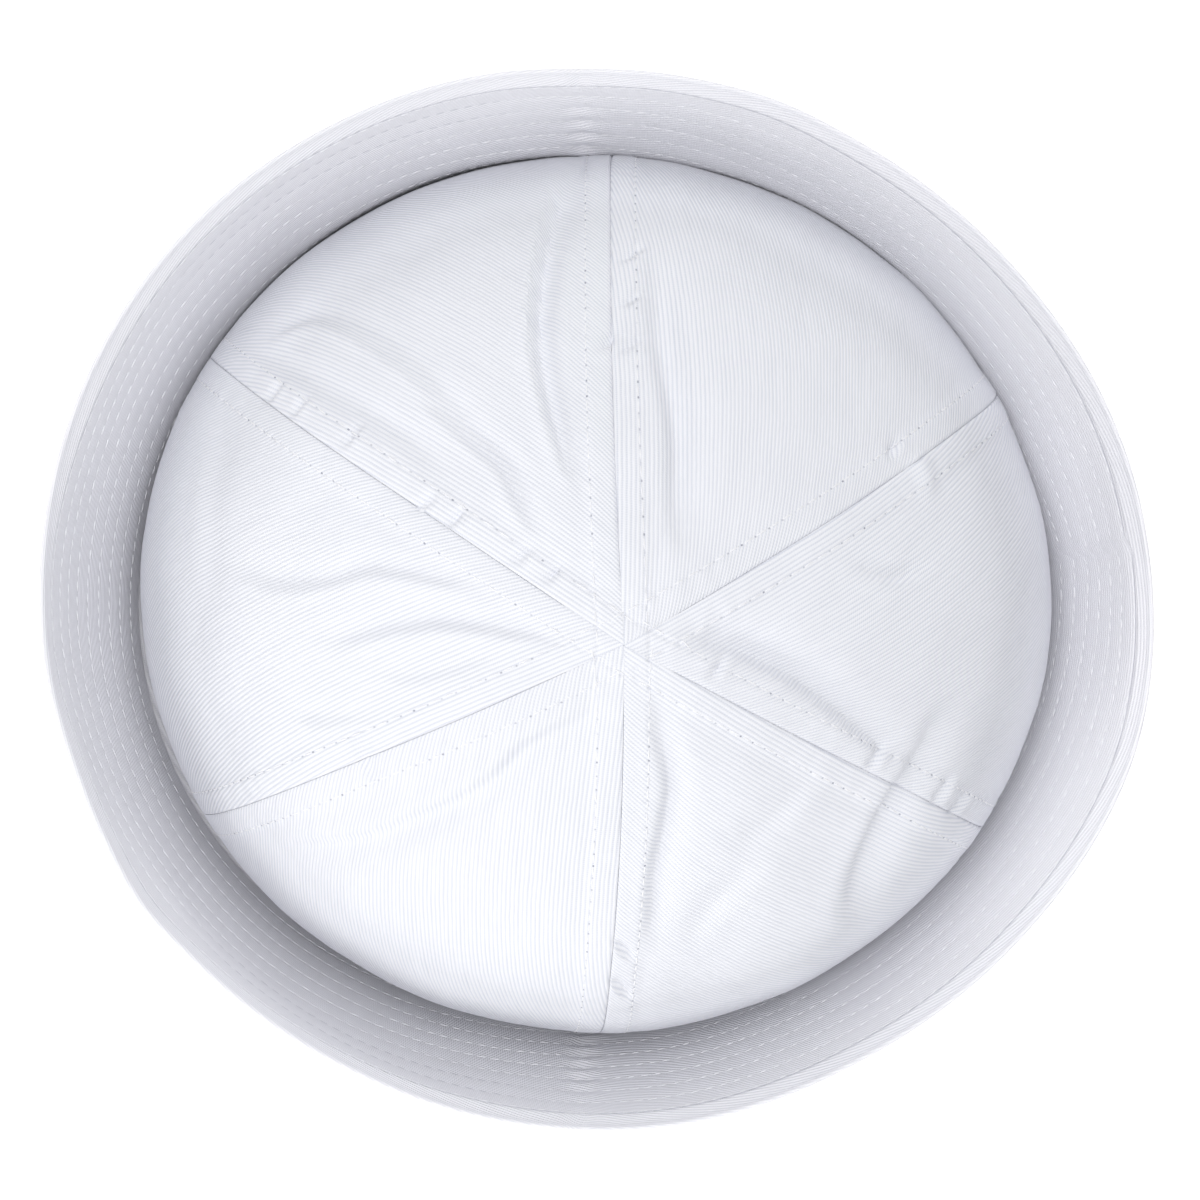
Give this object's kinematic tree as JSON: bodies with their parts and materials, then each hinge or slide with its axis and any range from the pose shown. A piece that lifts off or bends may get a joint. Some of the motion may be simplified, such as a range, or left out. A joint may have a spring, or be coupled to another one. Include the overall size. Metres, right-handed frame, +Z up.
{
  "type": "sailor hat",
  "caption": "Round white cotton hat with a domed crown of gores and a stitched brim turned up all the way round it.",
  "frame": {"origin": "on the table, under the middle of the rim's outline", "axes": "+Z up through the crown, +X towards the right-hand side, -Y towards the front"},
  "size_m": [0.2406, 0.2298, 0.11],
  "materials": {
    "crown_cloth": "white cotton twill, matt, with fine diagonal ribs and light creases",
    "brim_cloth": "white cotton twill in two plies, matt, stitched in close rows",
    "thread": "white sewing thread"
  },
  "bodies": {
    "root": {"crown_gore_back_right": "crown_cloth", "crown_gore_back_left": "crown_cloth", "crown_gore_left": "crown_cloth", "crown_gore_front_left": "crown_cloth", "crown_gore_front_right": "crown_cloth", "crown_gore_right": "crown_cloth", "brim_outer_left": "brim_cloth", "brim_facing_left": "brim_cloth", "brim_outer_right": "brim_cloth", "brim_facing_right": "brim_cloth"}
  },
  "joints": []
}
